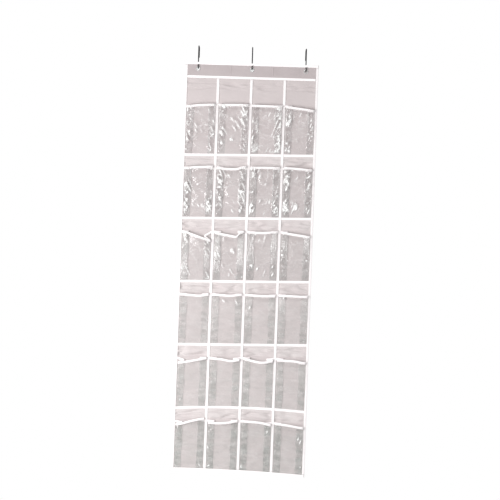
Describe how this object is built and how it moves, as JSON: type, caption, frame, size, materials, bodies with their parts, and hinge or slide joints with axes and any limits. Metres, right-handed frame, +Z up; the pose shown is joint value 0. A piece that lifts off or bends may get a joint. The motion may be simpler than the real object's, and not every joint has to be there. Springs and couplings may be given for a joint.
{
  "type": "hanging shoe organizer",
  "caption": "Over-the-door hanging shoe organizer: a fabric panel with rows of clear film pockets, taped seams, bound edges and wire hooks in metal eyelets.",
  "frame": {"origin": "where the middle hook's bar rests on the door's top edge, in the middle of the door's thickness", "axes": "+X to the right of a person facing the pockets, +Y from the pockets towards the door, +Z up"},
  "size_m": [0.5, 0.0794, 1.597],
  "materials": {
    "panel_fabric": "matte",
    "band_fabric": "matte",
    "white_tape": "matte",
    "clear_film": "gloss",
    "eyelet_metal": "polished",
    "hook_wire": "polished"
  },
  "bodies": {
    "hook_middle": {"hook_middle": "hook_wire"},
    "upper_panel": {"back_panel_upper": "panel_fabric", "top_band": "band_fabric", "top_binding": "white_tape", "header_tape": "white_tape", "left_binding_upper": "white_tape", "right_binding_upper": "white_tape", "divider_left_upper": "white_tape", "divider_middle_upper": "white_tape", "divider_right_upper": "white_tape", "seam_tape_row_1": "white_tape", "seam_tape_row_2": "white_tape", "seam_tape_row_3": "white_tape", "eyelet_left": "eyelet_metal", "eyelet_middle": "eyelet_metal", "eyelet_right": "eyelet_metal", "eyelet_washer_left": "eyelet_metal", "eyelet_washer_middle": "eyelet_metal", "eyelet_washer_right": "eyelet_metal"},
    "lower_panel": {"back_panel_lower": "panel_fabric", "left_binding_lower": "white_tape", "right_binding_lower": "white_tape", "divider_left_lower": "white_tape", "divider_middle_lower": "white_tape", "divider_right_lower": "white_tape", "seam_tape_row_4": "white_tape", "seam_tape_row_5": "white_tape", "bottom_binding": "white_tape"},
    "hook_left": {"hook_left": "hook_wire"},
    "hook_right": {"hook_right": "hook_wire"},
    "pocket_r1_c1": {"pocket_r1_c1": "clear_film"},
    "pocket_r1_c2": {"pocket_r1_c2": "clear_film"},
    "pocket_r1_c3": {"pocket_r1_c3": "clear_film"},
    "pocket_r1_c4": {"pocket_r1_c4": "clear_film"},
    "pocket_r2_c1": {"pocket_r2_c1": "clear_film"},
    "pocket_r2_c2": {"pocket_r2_c2": "clear_film"},
    "pocket_r2_c3": {"pocket_r2_c3": "clear_film"},
    "pocket_r2_c4": {"pocket_r2_c4": "clear_film"},
    "pocket_r3_c1": {"pocket_r3_c1": "clear_film"},
    "pocket_r3_c2": {"pocket_r3_c2": "clear_film"},
    "pocket_r3_c3": {"pocket_r3_c3": "clear_film"},
    "pocket_r3_c4": {"pocket_r3_c4": "clear_film"},
    "pocket_r4_c1": {"pocket_r4_c1": "clear_film"},
    "pocket_r4_c2": {"pocket_r4_c2": "clear_film"},
    "pocket_r4_c3": {"pocket_r4_c3": "clear_film"},
    "pocket_r4_c4": {"pocket_r4_c4": "clear_film"},
    "pocket_r5_c1": {"pocket_r5_c1": "clear_film"},
    "pocket_r5_c2": {"pocket_r5_c2": "clear_film"},
    "pocket_r5_c3": {"pocket_r5_c3": "clear_film"},
    "pocket_r5_c4": {"pocket_r5_c4": "clear_film"},
    "pocket_r6_c1": {"pocket_r6_c1": "clear_film"},
    "pocket_r6_c2": {"pocket_r6_c2": "clear_film"},
    "pocket_r6_c3": {"pocket_r6_c3": "clear_film"},
    "pocket_r6_c4": {"pocket_r6_c4": "clear_film"}
  },
  "joints": [
    {"name": "panel_swing", "type": "hinge", "parent": "hook_middle", "child": "upper_panel", "pos_m": [0, -0.0325, -0.08385], "axis": [-1, 0, 0], "range_deg": [-10, 10]},
    {"name": "panel_fold", "type": "hinge", "parent": "upper_panel", "child": "lower_panel", "pos_m": [0, -0.0316, -0.89], "axis": [1, 0, 0], "range_deg": [-130, 168]},
    {"name": "hook_left_pivot", "type": "hinge", "parent": "upper_panel", "child": "hook_left", "pos_m": [-0.202, -0.0325, -0.08385], "axis": [-1, 0, 0], "range_deg": [-10, 10]},
    {"name": "hook_right_pivot", "type": "hinge", "parent": "upper_panel", "child": "hook_right", "pos_m": [0.202, -0.0325, -0.08385], "axis": [-1, 0, 0], "range_deg": [-10, 10]},
    {"name": "pocket_r1_c1_opens", "type": "hinge", "parent": "upper_panel", "child": "pocket_r1_c1", "pos_m": [-0.1855, -0.0333, -0.3987], "axis": [1, 0, 0], "range_deg": [0, 12], "stiffness_Nm_per_rad": 0.05, "springref_deg": -5.73},
    {"name": "pocket_r1_c2_opens", "type": "hinge", "parent": "upper_panel", "child": "pocket_r1_c2", "pos_m": [-0.0625, -0.0333, -0.3987], "axis": [1, 0, 0], "range_deg": [0, 12], "stiffness_Nm_per_rad": 0.05, "springref_deg": -5.73},
    {"name": "pocket_r1_c3_opens", "type": "hinge", "parent": "upper_panel", "child": "pocket_r1_c3", "pos_m": [0.0625, -0.0333, -0.3987], "axis": [1, 0, 0], "range_deg": [0, 12], "stiffness_Nm_per_rad": 0.05, "springref_deg": -5.73},
    {"name": "pocket_r1_c4_opens", "type": "hinge", "parent": "upper_panel", "child": "pocket_r1_c4", "pos_m": [0.1855, -0.0333, -0.3987], "axis": [1, 0, 0], "range_deg": [0, 12], "stiffness_Nm_per_rad": 0.05, "springref_deg": -5.73},
    {"name": "pocket_r2_c1_opens", "type": "hinge", "parent": "upper_panel", "child": "pocket_r2_c1", "pos_m": [-0.1855, -0.0333, -0.6357], "axis": [1, 0, 0], "range_deg": [0, 12], "stiffness_Nm_per_rad": 0.05, "springref_deg": -5.73},
    {"name": "pocket_r2_c2_opens", "type": "hinge", "parent": "upper_panel", "child": "pocket_r2_c2", "pos_m": [-0.0625, -0.0333, -0.6357], "axis": [1, 0, 0], "range_deg": [0, 12], "stiffness_Nm_per_rad": 0.05, "springref_deg": -5.73},
    {"name": "pocket_r2_c3_opens", "type": "hinge", "parent": "upper_panel", "child": "pocket_r2_c3", "pos_m": [0.0625, -0.0333, -0.6357], "axis": [1, 0, 0], "range_deg": [0, 12], "stiffness_Nm_per_rad": 0.05, "springref_deg": -5.73},
    {"name": "pocket_r2_c4_opens", "type": "hinge", "parent": "upper_panel", "child": "pocket_r2_c4", "pos_m": [0.1855, -0.0333, -0.6357], "axis": [1, 0, 0], "range_deg": [0, 12], "stiffness_Nm_per_rad": 0.05, "springref_deg": -5.73},
    {"name": "pocket_r3_c1_opens", "type": "hinge", "parent": "upper_panel", "child": "pocket_r3_c1", "pos_m": [-0.1855, -0.0333, -0.8727], "axis": [1, 0, 0], "range_deg": [0, 12], "stiffness_Nm_per_rad": 0.05, "springref_deg": -5.73},
    {"name": "pocket_r3_c2_opens", "type": "hinge", "parent": "upper_panel", "child": "pocket_r3_c2", "pos_m": [-0.0625, -0.0333, -0.8727], "axis": [1, 0, 0], "range_deg": [0, 12], "stiffness_Nm_per_rad": 0.05, "springref_deg": -5.73},
    {"name": "pocket_r3_c3_opens", "type": "hinge", "parent": "upper_panel", "child": "pocket_r3_c3", "pos_m": [0.0625, -0.0333, -0.8727], "axis": [1, 0, 0], "range_deg": [0, 12], "stiffness_Nm_per_rad": 0.05, "springref_deg": -5.73},
    {"name": "pocket_r3_c4_opens", "type": "hinge", "parent": "upper_panel", "child": "pocket_r3_c4", "pos_m": [0.1855, -0.0333, -0.8727], "axis": [1, 0, 0], "range_deg": [0, 12], "stiffness_Nm_per_rad": 0.05, "springref_deg": -5.73},
    {"name": "pocket_r4_c1_opens", "type": "hinge", "parent": "lower_panel", "child": "pocket_r4_c1", "pos_m": [-0.1855, -0.0333, -1.1097], "axis": [1, 0, 0], "range_deg": [0, 12], "stiffness_Nm_per_rad": 0.05, "springref_deg": -5.73},
    {"name": "pocket_r4_c2_opens", "type": "hinge", "parent": "lower_panel", "child": "pocket_r4_c2", "pos_m": [-0.0625, -0.0333, -1.1097], "axis": [1, 0, 0], "range_deg": [0, 12], "stiffness_Nm_per_rad": 0.05, "springref_deg": -5.73},
    {"name": "pocket_r4_c3_opens", "type": "hinge", "parent": "lower_panel", "child": "pocket_r4_c3", "pos_m": [0.0625, -0.0333, -1.1097], "axis": [1, 0, 0], "range_deg": [0, 12], "stiffness_Nm_per_rad": 0.05, "springref_deg": -5.73},
    {"name": "pocket_r4_c4_opens", "type": "hinge", "parent": "lower_panel", "child": "pocket_r4_c4", "pos_m": [0.1855, -0.0333, -1.1097], "axis": [1, 0, 0], "range_deg": [0, 12], "stiffness_Nm_per_rad": 0.05, "springref_deg": -5.73},
    {"name": "pocket_r5_c1_opens", "type": "hinge", "parent": "lower_panel", "child": "pocket_r5_c1", "pos_m": [-0.1855, -0.0333, -1.3467], "axis": [1, 0, 0], "range_deg": [0, 12], "stiffness_Nm_per_rad": 0.05, "springref_deg": -5.73},
    {"name": "pocket_r5_c2_opens", "type": "hinge", "parent": "lower_panel", "child": "pocket_r5_c2", "pos_m": [-0.0625, -0.0333, -1.3467], "axis": [1, 0, 0], "range_deg": [0, 12], "stiffness_Nm_per_rad": 0.05, "springref_deg": -5.73},
    {"name": "pocket_r5_c3_opens", "type": "hinge", "parent": "lower_panel", "child": "pocket_r5_c3", "pos_m": [0.0625, -0.0333, -1.3467], "axis": [1, 0, 0], "range_deg": [0, 12], "stiffness_Nm_per_rad": 0.05, "springref_deg": -5.73},
    {"name": "pocket_r5_c4_opens", "type": "hinge", "parent": "lower_panel", "child": "pocket_r5_c4", "pos_m": [0.1855, -0.0333, -1.3467], "axis": [1, 0, 0], "range_deg": [0, 12], "stiffness_Nm_per_rad": 0.05, "springref_deg": -5.73},
    {"name": "pocket_r6_c1_opens", "type": "hinge", "parent": "lower_panel", "child": "pocket_r6_c1", "pos_m": [-0.1855, -0.0333, -1.5837], "axis": [1, 0, 0], "range_deg": [0, 12], "stiffness_Nm_per_rad": 0.05, "springref_deg": -5.73},
    {"name": "pocket_r6_c2_opens", "type": "hinge", "parent": "lower_panel", "child": "pocket_r6_c2", "pos_m": [-0.0625, -0.0333, -1.5837], "axis": [1, 0, 0], "range_deg": [0, 12], "stiffness_Nm_per_rad": 0.05, "springref_deg": -5.73},
    {"name": "pocket_r6_c3_opens", "type": "hinge", "parent": "lower_panel", "child": "pocket_r6_c3", "pos_m": [0.0625, -0.0333, -1.5837], "axis": [1, 0, 0], "range_deg": [0, 12], "stiffness_Nm_per_rad": 0.05, "springref_deg": -5.73},
    {"name": "pocket_r6_c4_opens", "type": "hinge", "parent": "lower_panel", "child": "pocket_r6_c4", "pos_m": [0.1855, -0.0333, -1.5837], "axis": [1, 0, 0], "range_deg": [0, 12], "stiffness_Nm_per_rad": 0.05, "springref_deg": -5.73}
  ],
  "couplings": [
    {"joint": "hook_left_pivot", "follows": "panel_swing", "ratio": -1},
    {"joint": "hook_right_pivot", "follows": "panel_swing", "ratio": -1}
  ]
}
